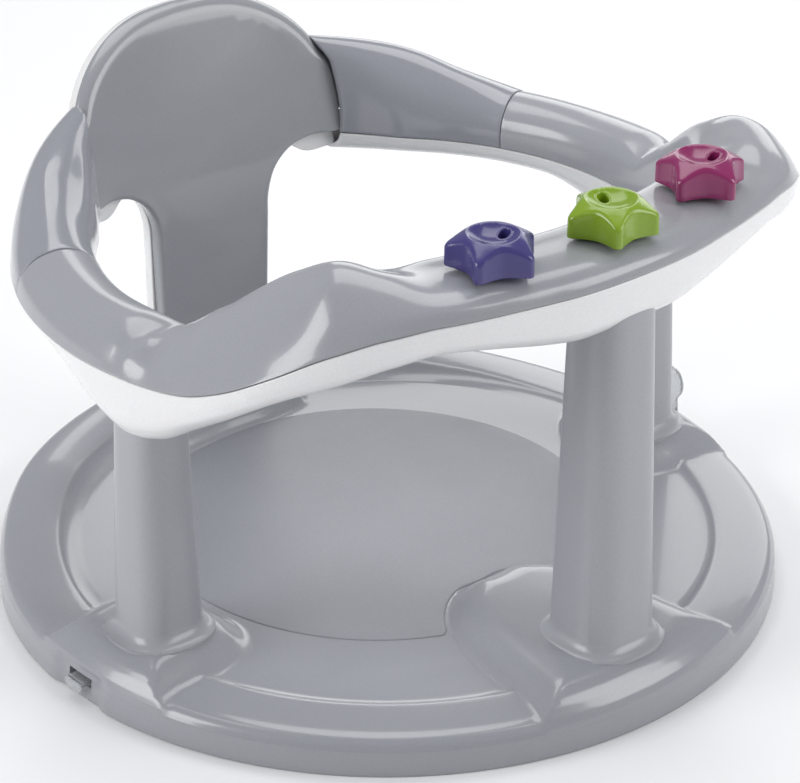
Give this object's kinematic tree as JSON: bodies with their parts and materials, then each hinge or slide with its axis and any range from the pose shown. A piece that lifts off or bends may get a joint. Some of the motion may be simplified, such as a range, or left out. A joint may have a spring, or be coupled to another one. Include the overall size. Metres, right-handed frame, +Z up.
{
  "type": "baby bath seat",
  "caption": "Round bath seat for a baby: suction base, posts and a padded-looking plastic ring with raised backrest and a front tray of spinning stars",
  "frame": {"origin": "centre of the round base, on the surface it stands on", "axes": "+Z up, -Y to the front tray, +Y to the backrest, +X to the right seen from the front"},
  "size_m": [0.3768, 0.37, 0.2395],
  "materials": {
    "grey_gloss": "moulded gloss, light grey",
    "grey_matt": "soft matt anti-slip, slightly lighter grey",
    "white_gloss": "moulded gloss white",
    "star_purple": "moulded satin gloss, purple",
    "star_green": "moulded satin gloss, lime green",
    "star_magenta": "moulded satin gloss, magenta",
    "spindle_plastic": "natural moulded",
    "clear_soft": "translucent soft plastic",
    "screw_steel": "zinc-plated"
  },
  "bodies": {
    "seat": {"base": "grey_gloss", "seat_mat": "grey_matt", "left_post": "grey_gloss", "right_post": "grey_gloss", "front_post": "grey_gloss", "base_screws": "screw_steel", "lower_ring": "white_gloss", "front_cover": "grey_gloss", "left_arm_cover": "grey_gloss", "right_arm_cover": "grey_gloss", "backrest_front": "grey_gloss", "backrest_rear": "white_gloss", "backrest_screws": "screw_steel", "suction_cup_front": "clear_soft", "suction_cup_rear": "clear_soft", "suction_cup_left": "clear_soft", "suction_cup_right": "clear_soft"},
    "spinner_left": {"star_left": "star_purple", "star_spindle_left": "spindle_plastic", "star_clip_left": "spindle_plastic"},
    "spinner_centre": {"star_centre": "star_green", "star_spindle_centre": "spindle_plastic", "star_clip_centre": "spindle_plastic"},
    "spinner_right": {"star_right": "star_magenta", "star_spindle_right": "spindle_plastic", "star_clip_right": "spindle_plastic"},
    "tab_left": {"release_tab_left": "clear_soft"},
    "tab_right": {"release_tab_right": "clear_soft"}
  },
  "joints": [
    {"name": "spin_left", "type": "hinge", "parent": "seat", "child": "spinner_left", "pos_m": [-0.06, -0.138, 0.2251], "axis": [0, 0, 1], "continuous": true},
    {"name": "spin_centre", "type": "hinge", "parent": "seat", "child": "spinner_centre", "pos_m": [0, -0.1448, 0.2251], "axis": [0, 0, 1], "continuous": true},
    {"name": "spin_right", "type": "hinge", "parent": "seat", "child": "spinner_right", "pos_m": [0.06, -0.138, 0.2251], "axis": [0, 0, 1], "continuous": true},
    {"name": "tab_left_bend", "type": "hinge", "parent": "seat", "child": "tab_left", "pos_m": [-0.187, -0.0035, 0.009], "axis": [0, 1, 0], "range_deg": [0, 120], "stiffness_Nm_per_rad": 0.004},
    {"name": "tab_right_bend", "type": "hinge", "parent": "seat", "child": "tab_right", "pos_m": [0.187, -0.0035, 0.009], "axis": [0, 1, 0], "range_deg": [-8, 95], "stiffness_Nm_per_rad": 0.004}
  ]
}
